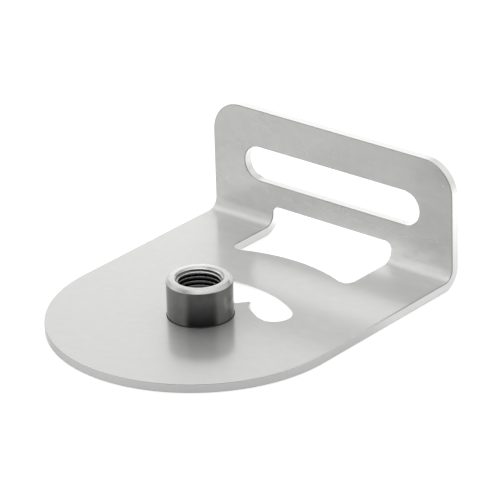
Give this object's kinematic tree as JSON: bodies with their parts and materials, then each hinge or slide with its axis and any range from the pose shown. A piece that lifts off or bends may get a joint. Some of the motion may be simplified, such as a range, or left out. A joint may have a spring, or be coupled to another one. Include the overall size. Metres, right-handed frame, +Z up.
{
  "type": "threaded mounting bracket",
  "caption": "Folded steel sheet bracket: round-fronted plate with a threaded bush and a scalloped opening, window across the fold, upright flange with a long slot.",
  "frame": {"origin": "on the bush axis at the plate's underside", "axes": "+X across the plate, +Y from the bush towards the flange, +Z up along the bush axis"},
  "size_m": [0.065, 0.0785, 0.028],
  "materials": {
    "sheet_steel": "satin stainless sheet, edges lightly deburred",
    "turned_steel": "fine turned stainless bar"
  },
  "bodies": {
    "root": {"bracket": "sheet_steel", "threaded_bush": "turned_steel"}
  },
  "joints": []
}
